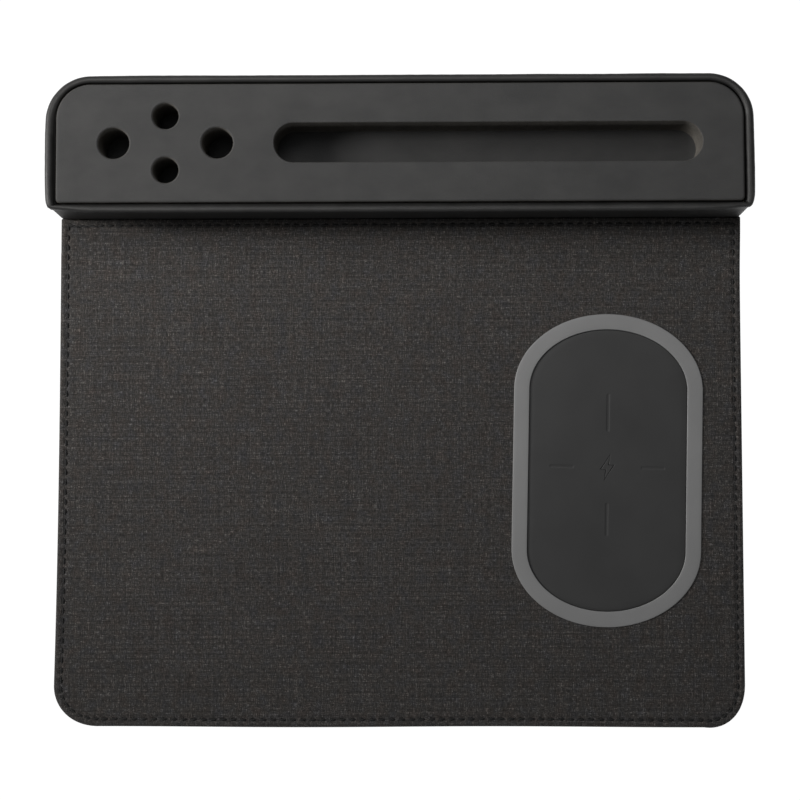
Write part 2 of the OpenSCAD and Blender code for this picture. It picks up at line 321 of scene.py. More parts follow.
def linen():
    s = Shader("linen weave", **{"Specular IOR Level": 0.2, "Sheen Weight": 0.04, "Sheen Roughness": 0.5})
    s.fold_over_edges()
    warp_slub = s.noise((0.34, 1.9, 1.0), detail=3.0, rough=0.6)
    weft_slub = s.noise((2.1, 0.34, 1.0), detail=3.0, rough=0.6)
    weft_thick = s.noise((30.0, 0.5, 1.0), detail=2.0)
    warp_thick = s.noise((0.5, 24.0, 1.0), detail=2.0)
    fuzz = s.noise((0.42, 0.42, 1.0), detail=2.0, rough=0.8)
    patch = s.noise((5.0, 6.0, 1.0), detail=4.0, rough=0.65)
    warp = s.wave("X", 0.52, 1.4, 2.0)
    weft = s.wave("Y", 0.56, 1.4, 2.0)
    rows = s.wave("Y", 1.86, 0.25, 0.3)
    slubs = s.math("ADD", s.math("MULTIPLY", warp_slub, 0.30), s.math("MULTIPLY", weft_slub, 0.25))
    thick = s.math("MULTIPLY", s.math("ADD", weft_thick, warp_thick), 0.10)
    spread = s.math("ADD", s.math("MULTIPLY", fuzz, 0.26), thick)
    tone = s.math("ADD", slubs, spread)
    base = s.ramp(tone, [(0.375, grey(22, 0.04)), (0.455, grey(42, 0.05)), (0.50, grey(54, 0.05)),
                         (0.545, grey(67, 0.05)), (0.605, grey(116, 0.04))])
    weave = s.math("MULTIPLY", warp, weft)
    woven = s.mix(1.0, base, s.ramp(weave, [(0.0, grey(224)), (0.6, grey(255))]), "MULTIPLY")
    woven = s.mix(1.0, woven, s.ramp(rows, [(0.0, grey(238)), (0.8, grey(255))]), "MULTIPLY")
    tint = s.ramp(patch, [(0.34, (1.0, 0.90, 0.86)), (0.5, (0.98, 0.955, 0.95)), (0.66, (0.90, 0.92, 1.0))])
    s.colour(s.mix(1.0, woven, tint, "MULTIPLY"))
    s.roughness(fuzz, 0.80, 0.96)
    s.bump((weave, 0.09), (tone, 0.2))
    return s.mat


def leatherette(name, level):
    s = Shader(name, **{"Specular IOR Level": 0.28})
    pores = s.cells((0.55, 0.55, 0.55), "SMOOTH_F1", 0.6)
    fine = s.noise((0.35, 0.35, 0.35), detail=3.0, rough=0.6)
    soft = s.noise((9.0, 9.0, 9.0), detail=3.0)
    coat = s.ramp(soft, [(0.3, grey(level - 3, 0.02)), (0.7, grey(level + 4, 0.02))])
    # Painted highlight: the coating is painted paler along the crest of the front rim, and painted shade
    # makes the steeper front faces below it darker
    front_painted_highlight_and_shade = s.ramp(s.leaning(0.0, -1.0), [(0.0, 1.0), (0.06, 1.95), (0.32, 1.9), (0.55, 0.90), (0.8, 0.5),
                                           (1.0, 0.95)])
    # Painted shade: faces turned to the left, towards the key lamp, are painted darker
    left_facing_painted_shade = s.ramp(s.leaning(-1.0, 0.0), [(0.0, 1.0), (0.5, 0.74), (1.0, 0.80)])
    s.colour(s.mix(1.0, coat, s.mix(1.0, front_painted_highlight_and_shade, left_facing_painted_shade, "MULTIPLY"), "MULTIPLY"))
    s.roughness(s.math("ADD", s.math("MULTIPLY", soft, 0.6), s.math("MULTIPLY", fine, 0.4)), 0.48, 0.62)
    s.bump((pores, 0.02), (fine, 0.015), (soft, 0.12))
    return s.mat


def foam_block(name, level):
    s = Shader(name, **{"Specular IOR Level": 0.3})
    grain = s.noise((0.28, 0.28, 0.28), detail=3.0, rough=0.7)
    cells = s.cells((0.45, 0.45, 0.45))
    cloud = s.noise((14.0, 10.0, 12.0), detail=4.0, rough=0.55)
    fade = s.ramp(cloud, [(0.3, grey(level - 3, 0.0)), (0.7, grey(level + 4, 0.01))])
    speck = s.ramp(grain, [(0.3, grey(238)), (0.65, grey(255))])
    fibres = s.noise((0.8, 0.8, 2.2), detail=4.0, rough=0.7)
    # The cut walls carry the foam's own brownish fibre colour, and painted light brightens them, most
    # towards their foot
    torn = s.ramp(fibres, [(0.36, (1.5, 1.38, 1.20)), (0.62, (2.0, 1.87, 1.68))])
    share = s.height_share(BLOCK_TOP - 16, BLOCK_TOP - 2)
    torn = s.mix(1.0, torn, s.ramp(share, [(0.0, 1.7), (1.0, 1.0)]), "MULTIPLY")
    # Painted light: only the upright walls get the brightened fibre colour
    upright = s.mix(s.ramp(s.facing_up(), [(0.35, 0.0), (0.75, 1.0)]), torn, (1.0, 1.0, 1.0))
    # Painted shade: the foam is painted darker the lower it lies, down the pen holes and the slot
    painted_recess_shade = s.ramp(share, [(0.0, grey(212)), (1.0, grey(255))])
    cut = s.mix(1.0, upright, painted_recess_shade, "MULTIPLY")
    s.colour(s.mix(1.0, s.mix(1.0, fade, speck, "MULTIPLY"), cut, "MULTIPLY"))
    s.roughness(grain, 0.74, 0.9)
    s.bump((grain, 0.03), (cells, 0.025))
    return s.mat


def soft_plastic(name, level, rough=(0.42, 0.55), grain_depth=0.01, spec=0.45):
    s = Shader(name, **{"Specular IOR Level": spec})
    grain = s.noise((0.2, 0.2, 0.2), detail=2.0, rough=0.6)
    cloud = s.noise((18.0, 22.0, 12.0), detail=3.0)
    s.colour(s.ramp(cloud, [(0.3, grey(level - 2)), (0.7, grey(level + 3))]))
    s.roughness(s.math("ADD", s.math("MULTIPLY", grain, 0.5), s.math("MULTIPLY", cloud, 0.5)), *rough)
    s.bump((grain, grain_depth))
    return s.mat


def rubber_sheet(name, level):
    s = Shader(name, **{"Specular IOR Level": 0.35})
    grain = s.noise((0.4, 0.4, 0.4), detail=3.0, rough=0.65)
    dots = s.cells((1.1, 1.1, 1.1), "SMOOTH_F1", 0.3)
    s.colour(s.ramp(grain, [(0.3, grey(level - 4, 0.02)), (0.7, grey(level + 5, 0.02))]))
    s.roughness(grain, 0.68, 0.85)
    s.bump((dots, 0.05), (grain, 0.03))
    return s.mat


def thread_black():
    s = Shader("seam thread", **{"Specular IOR Level": 0.3, "Sheen Weight": 0.1})
    twist = s.wave("DIAGONAL", 0.32, 0.2)
    fuzz = s.noise((0.15, 0.15, 0.15), detail=2.0)
    s.colour(s.ramp(twist, [(0.2, grey(4)), (0.8, grey(15))]))
    s.roughness(fuzz, 0.6, 0.8)
    s.bump((twist, 0.06), (fuzz, 0.02))
    return s.mat


def fibre_board():
    s = Shader("fibre board", **{"Specular IOR Level": 0.2})
    fibre = s.noise((0.5, 3.5, 0.5), detail=4.0, rough=0.7)
    s.colour(s.ramp(fibre, [(0.3, (0.16, 0.11, 0.065)), (0.7, (0.33, 0.24, 0.15))]))
    s.roughness(fibre, 0.75, 0.95)
    s.bump((fibre, 0.06))
    return s.mat


def foam_cord():
    s = Shader("foam cord", **{"Specular IOR Level": 0.15})
    cells = s.cells((0.6, 0.6, 0.6))
    s.colour(s.ramp(cells, [(0.1, grey(110)), (0.6, grey(160))]))
    s.roughness(cells, 0.85, 0.97, 0.1, 0.6)
    s.bump((cells, 0.15))
    return s.mat


def metal(name, colour, rough):
    s = Shader(name, **{"Metallic": 1.0})
    lines = s.noise((0.12, 2.5, 0.12), detail=2.0)
    s.colour(s.ramp(lines, [(0.3, tuple(c * 0.9 for c in colour)), (0.7, colour)]))
    s.roughness(lines, rough, rough + 0.12)
    s.bump((lines, 0.006))
    return s.mat


def board_lacquer():
    s = Shader("board lacquer", **{"Specular IOR Level": 0.5})
    tracks = s.wave("X", 1.6, 3.0, 0.6)
    fine = s.noise((0.3, 0.3, 0.3), detail=2.0)
    s.colour(s.ramp(tracks, [(0.45, (0.012, 0.085, 0.04)), (0.6, (0.03, 0.16, 0.075))]))
    s.roughness(fine, 0.28, 0.42)
    s.bump((tracks, 0.03))
    return s.mat


def ceramic_tan():
    s = Shader("ceramic body", **{"Specular IOR Level": 0.4})
    fine = s.noise((0.25, 0.25, 0.25), detail=3.0)
    s.colour(s.ramp(fine, [(0.3, (0.23, 0.16, 0.085)), (0.7, (0.36, 0.26, 0.15))]))
    s.roughness(fine, 0.45, 0.6)
    s.bump((fine, 0.02))
    return s.mat


M_LINEN = linen()
M_WRAP = leatherette("leatherette", 33)
M_FOAM = foam_block("foam insert", 53)
M_FOAM_BASE = foam_block("foam base layer", 52)
M_RUBBER = rubber_sheet("rubberised sheet", 26)
M_CORE = rubber_sheet("foam rubber core", 22)
M_THREAD = thread_black()
M_BAND = soft_plastic("grey trim band", 112, (0.42, 0.54))
M_LID = soft_plastic("dark soft lid", 48, (0.5, 0.62), spec=0.3)
M_TRAY = soft_plastic("moulded tray", 40, (0.5, 0.65))
M_CHIP = soft_plastic("moulded chip", 26, (0.45, 0.6))
M_LEAD = soft_plastic("lead jacket", 20, (0.45, 0.6))
M_FERRITE = soft_plastic("pressed ferrite", 44, (0.6, 0.75), grain_depth=0.03)
M_BOARD = board_lacquer()
M_CERAMIC = ceramic_tan()
M_COPPER = metal("lacquered copper", (0.72, 0.33, 0.16), 0.3)
M_STEEL = metal("plated shell", (0.62, 0.63, 0.65), 0.28)
M_FIBRE = fibre_board()
M_CORD = foam_cord()


# -------- outlines and mesh helpers

def plan_outline(half_w, y0, y1, front_r, rear_r, step):
    """Points and outward normals of a rounded rectangle, anticlockwise from the front left corner's end."""
    points = []

    def line(a, b, normal):
        count = max(1, round(math.dist(a, b) / step))
        for i in range(count):
            t = i / count
            points.append((a[0] + (b[0] - a[0]) * t, a[1] + (b[1] - a[1]) * t, *normal))

    def arc(cx, cy, r, start):
        count = max(6, round(r * math.pi / 2 / step))
        for i in range(count):
            a = math.radians(start) + math.pi / 2 * i / count
            points.append((cx + r * math.cos(a), cy + r * math.sin(a), math.cos(a), math.sin(a)))

    line((-half_w + front_r, y0), (half_w - front_r, y0), (0, -1))
    arc(half_w - front_r, y0 + front_r, front_r, 270)
    line((half_w, y0 + front_r), (half_w, y1 - rear_r), (1, 0))
    arc(half_w - rear_r, y1 - rear_r, rear_r, 0)
    line((half_w - rear_r, y1), (-half_w + rear_r, y1), (0, 1))
    arc(-half_w + rear_r, y1 - rear_r, rear_r, 90)
    line((-half_w, y1 - rear_r), (-half_w, y0 + front_r), (-1, 0))
    arc(-half_w + front_r, y0 + front_r, front_r, 180)
    return points


def circle_outline(cx, cy, r, count):
    angles = [TAU * i / count for i in range(count)]
    return [(cx + r * math.cos(a), cy + r * math.sin(a), math.cos(a), math.sin(a)) for a in angles]


def capsule_outline(cx, cy, length, width, step, turn=0.0):
    r = width / 2
    half = length / 2 - r
    local = []
    arc_count = max(8, round(math.pi * r / step))
    line_count = max(1, round(2 * half / step))
    for side in (1, -1):
        for i in range(arc_count):
            a = -math.pi / 2 + math.pi * i / arc_count + (0 if side > 0 else math.pi)
            local.append((side * half + r * math.cos(a), r * math.sin(a), math.cos(a), math.sin(a)))
        for i in range(line_count):
            t = i / line_count
            local.append((side * half * (1 - 2 * t), side * r, 0, side))
    c, s = math.cos(turn), math.sin(turn)
    return [(cx + x * c - y * s, cy + x * s + y * c, nx * c - ny * s, nx * s + ny * c)
            for x, y, nx, ny in local]


def offset(outline, d):
    """The outline's points moved out by d."""
    return [(x + nx * d, y + ny * d) for x, y, nx, ny in outline]


def inset_box(outline, d, half_w, y0, y1):
    """The outline moved in by d, and kept inside its box moved in as well, so small corners don't cross."""
    return [(max(-half_w + d, min(half_w - d, x - nx * d)), max(y0 + d, min(y1 - d, y - ny * d)))
            for x, y, nx, ny in outline]


def wander(x, y, nx, ny):
    """How far the soft mat's edge strays outward from its plan."""
    ahead = (Y_BAR - y) / (Y_BAR - Y_FRONT)
    left = 0.6 + 1.9 * max(ahead, 0.0) ** 3
    right = 0.05 + 0.5 * math.exp(-(ahead / 0.08) ** 2)
    beside_bar = min(max(1 + 12 * ahead, 0.0), 1.0)
    left, right = left * beside_bar, right * beside_bar
    front = 0.25 + 0.2 * math.cos(TAU * (x + 40) / 155) + 0.0015 * x
    # The front right corner is less rounded than the left one
    full = (2.5 if nx > 0 else 0.5) * abs(nx * ny) * max(-ny, 0.0)
    return left * max(-nx, 0.0) ** 2 + right * max(nx, 0.0) ** 2 + front * max(-ny, 0.0) ** 2 + full


def mat_outline(inset, y1, rear_r, step):
    """The mat's outline inset from its plan, closed at y1, with the mat's own wander."""
    outline = plan_outline(HALF_W - inset, Y_FRONT + inset, y1, MAT_CORNER - inset, rear_r, step)
    strays = [(p, wander(*p)) for p in outline]
    return [(x + nx * d, y + ny * d, nx, ny) for (x, y, nx, ny), d in strays]


def to_zone(x, y):
    """A point of the charging zone, turned and put in place."""
    c, s = math.cos(ZONE_TURN), math.sin(ZONE_TURN)
    return (ZONE[0] + x * c - y * s, ZONE[1] + x * s + y * c)


def zone_loop(g):
    """The charging zone's oval grown by g, turned and put in place."""
    half_w, end = PANEL_HALF_W + g, PANEL_END + g
    quarter, straight = 55, 40
    local = []
    for side in (1, -1):
        for i in range(2 * quarter):
            a = math.pi * i / (2 * quarter) + (0 if side > 0 else math.pi)
            local.append((half_w * math.cos(a), side * ZONE_FLAT + end * math.sin(a)))
        for i in range(straight):
            t = i / straight
            local.append((-side * half_w, side * ZONE_FLAT * (1 - 2 * t)))
    return [to_zone(x, y) for x, y in local]


class Build:
    """Collects vertices, in millimetres, and faces, and makes the object."""

    def __init__(self):
        self.verts = []
        self.faces = []

    def loop(self, xy, z):
        start = len(self.verts)
        zs = z if hasattr(z, "__len__") else [z] * len(xy)
        self.verts.extend((x, y, h) for (x, y), h in zip(xy, zs))
        return list(range(start, len(self.verts)))

    def bridge(self, a, b):
        n = len(a)
        for i in range(n):
            j = (i + 1) % n
            self.faces.append((a[i], a[j], b[j], b[i]))

    def rings(self, loops, closed_ends=False):
        for a, b in zip(loops, loops[1:]):
            self.bridge(a, b)
        if closed_ends:
            self.faces += [tuple(loops[0]), tuple(loops[-1][::-1])]

    def cap(self, outer, holes=(), up=True, grid=None, height=None):
        """Fills between an outer ring and any hole rings, with inner points at the grid spacing, if any."""
        rings = [outer, *holes]
        flat = [i for ring in rings for i in ring]
        points = [Vector(self.verts[i][:2]) for i in flat]
        edges = []
        place = 0
        for ring in rings:
            n = len(ring)
            edges += [(place + k, place + (k + 1) % n) for k in range(n)]
            place += n
        polygons = [[self.verts[i][:2] for i in ring] for ring in rings]
        extra = []
        if grid:
            xs = [p[0] for p in polygons[0]]
            ys = [p[1] for p in polygons[0]]
            x = min(xs) + grid / 2
            while x < max(xs):
                y = min(ys) + grid / 2
                while y < max(ys):
                    if inside((x, y), polygons, grid * 0.45):
                        extra.append((x, y))
                    y += grid
                x += grid
        points += [Vector(p) for p in extra]
        out_v, out_e, out_f, origin, edge_origin, _ = delaunay_2d_cdt(points, edges, [], 0, 1e-7)
        ring_edges = {frozenset(e) for e, source in zip(out_e, edge_origin) if source}
        z0 = self.verts[outer[0]][2]
        index = []
        for k, v in enumerate(out_v):
            source = origin[k]
            if source and source[0] < len(flat):
                index.append(flat[source[0]])
            else:
                index.append(len(self.verts))
                self.verts.append((v[0], v[1], height(v[0], v[1]) if height else z0))
        for region in regions(out_f, ring_edges):
            widest = max(([out_v[i] for i in f] for f in region), key=doubled_area)
            middle = [sum(v[axis] for v in widest) / 3 for axis in (0, 1)]
            if doubled_area(widest) > LEAST_DOUBLED_AREA and inside(middle, polygons):
                filled = [tuple(index[i] for i in f) for f in region]
                self.faces += filled if up else [f[::-1] for f in filled]

    def make(self, name, material, replaces, smooth=40):
        mesh = bpy.data.meshes.new(name)
        mesh.from_pydata([(x * MM, y * MM, z * MM) for x, y, z in self.verts], [], self.faces)
        mesh.materials.append(material)
        obj = bpy.data.objects.new(name, mesh)
        bpy.context.scene.collection.objects.link(obj)
        finish_mesh(obj, smooth)
        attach(obj, "root")
        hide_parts(*replaces)
        return obj


def doubled_area(corners):
    """Twice the area of a triangle."""
    (x0, y0), (x1, y1), (x2, y2) = corners
    return abs((x1 - x0) * (y2 - y0) - (x2 - x0) * (y1 - y0))


def sides(triangle):
    return [frozenset((triangle[i], triangle[i - 1])) for i in range(3)]


def regions(triangles, walls):
    """The triangles in groups that meet across sides other than walls, so slivers stay with their group."""
    by_side = {}
    for k, triangle in enumerate(triangles):
        for side in sides(triangle):
            by_side.setdefault(side, []).append(k)
    seen = [False] * len(triangles)
    groups = []
    for first in range(len(triangles)):
        if seen[first]:
            continue
        seen[first] = True
        group, queue = [], [first]
        while queue:
            triangle = triangles[queue.pop()]
            group.append(triangle)
            for side in sides(triangle):
                for other in () if side in walls else by_side[side]:
                    if not seen[other]:
                        seen[other] = True
                        queue.append(other)
        groups.append(group)
    return groups


def inside(p, polygons, margin=0.0):
    """Whether p is in the first polygon and in none of the others, margin away from their corners."""
    for k, polygon in enumerate(polygons):
        hit = False
        x, y = p
        n = len(polygon)
        for i in range(n):
            x1, y1 = polygon[i]
            x2, y2 = polygon[(i + 1) % n]
            if margin and abs(x1 - x) < margin and abs(y1 - y) < margin:
                return False
            if (y1 > y) != (y2 > y) and x < (x2 - x1) * (y - y1) / (y2 - y1) + x1:
                hit = not hit
        if hit != (k == 0):
            return False
    return True


def finish_mesh(obj, smooth):
    """Consistent outward faces, and smooth shading across edges flatter than the angle."""
    bm = bmesh.new()
    bm.from_mesh(obj.data)
    bmesh.ops.remove_doubles(bm, verts=bm.verts, dist=WELD_M)
    bmesh.ops.recalc_face_normals(bm, faces=bm.faces)
    limit = math.radians(smooth)
    for face in bm.faces:
        face.smooth = True
    for edge in bm.edges:
        edge.smooth = not (edge.is_manifold and edge.calc_face_angle(0) > limit)
    bm.to_mesh(obj.data)
    bm.free()


def fillet(r, steps, start, end, x=0.0, z=0.0):
    """Points (outward, up) of an arc about (x, z), angles in degrees."""
    angles = [math.radians(start + (end - start) * i / steps) for i in range(steps + 1)]
    return [(x + r * math.cos(a), z + r * math.sin(a)) for a in angles]


# -------- mat: cover, base and seam

COVER_INSET = 0.3
HEM_BOTTOM = base_high[2] + 0.05
HEM_INSIDE = 0.48
SEAM_IN_COVER = SEAM_INSET - COVER_INSET
COVER_END = Y_BAR - 3 + SEAM_INSET


def seam_outline(step):
    """The cover's edge, closed just under the bar's front wall, so one line inside it is the seam."""
    return mat_outline(COVER_INSET, COVER_END, 0.6, step)


REAR_HALF = HALF_W - COVER_INSET + 0.55


def inset_cover(outline, d):
    """The cover's edge moved in by d; its two small corners under the bar are kept from crossing."""
    shape = []
    for x, y, nx, ny in outline:
        across, along = x - nx * d, y - ny * d
        limit = REAR_HALF - d
        if along > COVER_END - d and abs(across) > limit - 0.5:
            across = math.copysign(limit, across)
        elif y > Y_BAR - 14:
            across = max(-limit, min(limit, across))
        shape.append((across, min(along, COVER_END - d)))
    return shape


def running_lengths(outline):
    lengths = [0.0]
    for a, c in zip(outline, outline[1:]):
        lengths.append(lengths[-1] + math.dist(a[:2], c[:2]))
    return lengths


def cover_rise(x, y):
    """Very gentle unevenness of the laid cover."""
    return 0.10 * noise.noise((x / 38, y / 38, 3.1)) + 0.04 * noise.noise((x / 12, y / 12, 7.7))


def build_cover():
    b = Build()
    outline = seam_outline(0.65)
    n = len(outline)
    length = running_lengths(outline)
    pitch = seam_pitch(length[-1] + math.dist(outline[-1][:2], outline[0][:2]))

    def height(inset, i):
        valley = math.exp(-((inset - SEAM_IN_COVER) / 0.72) ** 2)
        held = 0.5 - 0.5 * math.cos(TAU * length[i] / pitch)
        dip = valley * (0.12 + 0.40 * held)
        pucker = 0.13 * (1 - held) * math.exp(-((inset - SEAM_IN_COVER) / 1.5) ** 2)
        edge = 0.55 * max(0.0, 1 - inset / 0.9) ** 2
        pillow = 0.10 * math.sin(math.pi * min(inset / SEAM_IN_COVER, 1)) * (1 - valley)
        x, y = outline[i][0], outline[i][1]
        return FABRIC_Z - dip + pucker - edge + pillow + 0.5 * cover_rise(x, y) * min(inset / 12, 1)

    def top_ring(d):
        """One ring of the cover's top; points that meet at a corner share one height."""
        shape = inset_cover(outline, d)
        heights = []
        for i in range(n):
            heights.append(heights[-1] if i and shape[i] == shape[i - 1] else height(d, i))
        return b.loop(shape, heights)

    insets = [0.0, 0.1, 0.3, 0.6, 1.0, 1.5, 2.0, 2.3, 2.5, 2.7]
    insets += [2.9, 3.1, 3.3, 3.6, 4.0, 4.6, 5.5, 7.0, 9.0, 12.0]
    under = [b.loop(inset_cover(outline, d), FABRIC_BOTTOM) for d in (12.0, 3.0, HEM_INSIDE)]
    hem = [b.loop(inset_cover(outline, d), HEM_BOTTOM) for d in (HEM_INSIDE, 0.12)]
    hem_side = [(0.0, HEM_BOTTOM + 0.15), (0.05, HEM_BOTTOM + 1.4), (0.03, FABRIC_BOTTOM - 0.3)]
    hem += [b.loop(offset(outline, d), z) for d, z in hem_side]
    top = [top_ring(d) for d in insets]
    b.rings(under + hem + top)
    window_z = (FABRIC_Z - 0.02, (FABRIC_Z + FABRIC_BOTTOM) / 2, FABRIC_BOTTOM)
    window = [b.loop(zone_loop(3.0), z) for z in window_z]
    b.rings(window)

    def rise(x, y):
        away = math.hypot(x - ZONE[0], (y - ZONE[1]) / 1.6) - 40
        return FABRIC_Z + cover_rise(x, y) * (1 - math.exp(-max(0.0, away) / 6))

    b.cap(top[-1], [window[0]], grid=4.0, height=rise)
    b.cap(under[0], [window[-1]], up=False)

    # The part of the cover under the bar
    tail_box = (HALF_W - COVER_INSET, COVER_END + 0.02, Y_REAR - COVER_INSET)
    tail = plan_outline(*tail_box, 0.6, BAR_REAR_CORNER - COVER_INSET, 3.0)
    section = [(3.0, FABRIC_BOTTOM), (0.15, FABRIC_BOTTOM), (0.15, HEM_BOTTOM), (0.0, HEM_BOTTOM + 0.1),
               (0.0, FABRIC_Z - 0.2), (0.25, FABRIC_Z), (3.0, FABRIC_Z)]
    loops = [b.loop(inset_box(tail, d, *tail_box), z) for d, z in section]
    b.rings(loops)
    b.cap(loops[-1])
    b.cap(loops[0], up=False)
    obj = b.make("mat_cover", M_LINEN, ("mat_fabric",), smooth=50)


def build_base():
    """Rubberised underside: a thin plate with a rounded edge and a channel for the lower stitches."""
    b = Build()
    outline = mat_outline(0.0, Y_REAR, BAR_REAR_CORNER, 1.3)
    top = base_high[2]
    section = [(12.0, top), (0.35, top), (0.12, top - 0.12), (0.0, top - 0.4)]
    section += [(0.0, 0.4), (0.12, 0.12), (0.35, 0.0)]
    channel = [(-0.9, 0.0), (-0.5, 0.1), (-0.25, 0.28), (0.25, 0.28), (0.5, 0.1), (0.9, 0.0)]
    section += [(SEAM_INSET + x, z) for x, z in channel]
    section += [(12.0, 0.0)]
    loops = [b.loop(offset(outline, -d), z) for d, z in section]
    b.rings(loops)
    b.cap(loops[0])
    b.cap(loops[-1], up=False)
    b.make("rubber_base", M_RUBBER, ("base_sheet",), smooth=50)


def seam_pitch(total):
    """The pitch nearest to the usual one that fills a closed seam with whole stitches."""
    return total / round(total / STITCH_PITCH)


def along(points, lengths, s):
    """The point and direction at running length s of a closed line."""
    s %= lengths[-1]
    low, high = 0, len(points)
    while high - low > 1:
        mid = (low + high) // 2
        if lengths[mid] <= s:
            low = mid
        else:
            high = mid
    a, c = points[low], points[(low + 1) % len(points)]
    span = lengths[low + 1] - lengths[low]
    t = (s - lengths[low]) / span if span else 0
    d = (c[0] - a[0], c[1] - a[1])
    size = math.hypot(*d) or 1
    return (a[0] + d[0] * t, a[1] + d[1] * t), (d[0] / size, d[1] / size)


def add_tube(b, centres, radius):
    """A closed tube through (centre, direction, taper), a little flattened."""
    sides = 7
    loops = []
    for centre, direction, taper in centres:
        x, y, z = centre
        start = len(b.verts)
        for k in range(sides):
            a = TAU * k / sides
            across = radius * taper * math.cos(a)
            up = 0.8 * radius * taper * math.sin(a)
            b.verts.append((x - direction[1] * across, y + direction[0] * across, z + up))
        loops.append(list(range(start, start + sides)))
    b.rings(loops, closed_ends=True)


def build_seam():
    """Lockstitch: dashes of thread on the cover and in the base's channel, and a back-tack by the bar."""
    b = Build()
    steps = 7
    radius = 0.40
    spacing = 0.4

    def stitch(line, s0, span, z0, arch, shift=0.0, lean=0.0):
        centres = []
        for i in range(steps + 1):
            t = i / steps
            (x, y), d = along(*line, s0 + span * t)
            across = shift + lean * (t - 0.5)
            bulge = math.sin(math.pi * t)
            centre = (x - d[1] * across, y + d[0] * across, z0 + arch * bulge ** 0.6)
            centres.append((centre, d, 0.55 + 0.45 * bulge))
        add_tube(b, centres, radius)

    def closed_line(points):
        return points, running_lengths(points + [points[0]])

    outline = seam_outline(spacing)
    top = closed_line(inset_cover(outline, SEAM_IN_COVER))
    # The same stitches as the cover's puckers, which count along its edge
    edge = running_lengths(outline)
    total = edge[-1] + spacing
    count = round(total / STITCH_PITCH)
    for k in range(count):
        centre = lookup(edge, top[1], total * (k + 0.5) / count)
        wobble = 0.06 * noise.noise((k * 0.7, 1.3, 0.0))
        lean = 0.16 + 0.08 * noise.noise((k * 0.9, 5.0, 0.0))
        stitch(top, centre - STITCH_LEN / 2, STITCH_LEN, FABRIC_Z - 0.40, 0.38, wobble, lean)

    low = closed_line(offset(mat_outline(0.0, Y_REAR, BAR_REAR_CORNER, 0.8), -SEAM_INSET))
    count = round(low[1][-1] / STITCH_PITCH)
    for k in range(count):
        stitch(low, low[1][-1] * k / count, STITCH_LEN, 0.36, -0.06)

    corner = (-HALF_W + SEAM_INSET, Y_BAR - 3)
    rear_left = min(range(len(top[0])), key=lambda i: math.dist(top[0][i], corner))
    # Back-tack stitches, a little outside the seam
    for k in range(3):
        stitch(top, top[1][rear_left] - 4.2 - 3.6 * k, 3.2, FABRIC_Z - 0.26, 0.32, 0.34, -0.24)
    b.make("seam_thread", M_THREAD, ("edge_stitching",), smooth=60)


def lookup(xs, ys, x):
    """The value of ys where xs reaches x, both rising."""
    for x0, x1, y0, y1 in zip(xs, xs[1:], ys, ys[1:]):
        if x <= x1:
            return y0 + (y1 - y0) * (x - x0) / (x1 - x0)
    return ys[-1]


# -------- charging zone

MARK_SHIFT = 1.1
LID_GAP = 0.15


def build_band():
    """Trim band round the lid: a low crowned section swept round the oval."""
    b = Build()
    top = ring_high[2]
    profile = [(2.85, ring_low[2]), (2.85, FABRIC_Z + 0.02), (RING_BAND - 0.25, FABRIC_Z + 0.02)]
    profile += [(RING_BAND, FABRIC_Z + 0.1), (RING_BAND, FABRIC_Z + 0.16)]
    profile += fillet(0.30, 5, 0, 90, RING_BAND - 0.30, top - 0.30)
    profile += [(RING_BAND - 1.4, top + 0.02), (RING_BAND / 2, top + 0.04), (1.4, top + 0.02)]
    profile += fillet(0.28, 5, 90, 180, 0.28, top - 0.28)
    profile += [(0.0, ring_low[2])]
    loops = [b.loop(zone_loop(g), z) for g, z in profile]
    b.rings(loops + [loops[0]])
    b.make("trim_band", M_BAND, ("charge_ring",), smooth=35)


def polygon_inset(corners, d):
    """The polygon with every side moved d to its left, corners mitred."""
    out = []
    n = len(corners)
    for i in range(n):
        p, q, r = corners[i - 1], corners[i], corners[(i + 1) % n]
        a = Vector((q[0] - p[0], q[1] - p[1])).normalized()
        c = Vector((r[0] - q[0], r[1] - q[1])).normalized()
        na, nc = Vector((-a.y, a.x)), Vector((-c.y, c.x))
        mid = na + nc
        mid = mid / max(mid.length_squared, 0.35) * 2
        out.append((q[0] + mid.x * d, q[1] + mid.y * d))
    return out


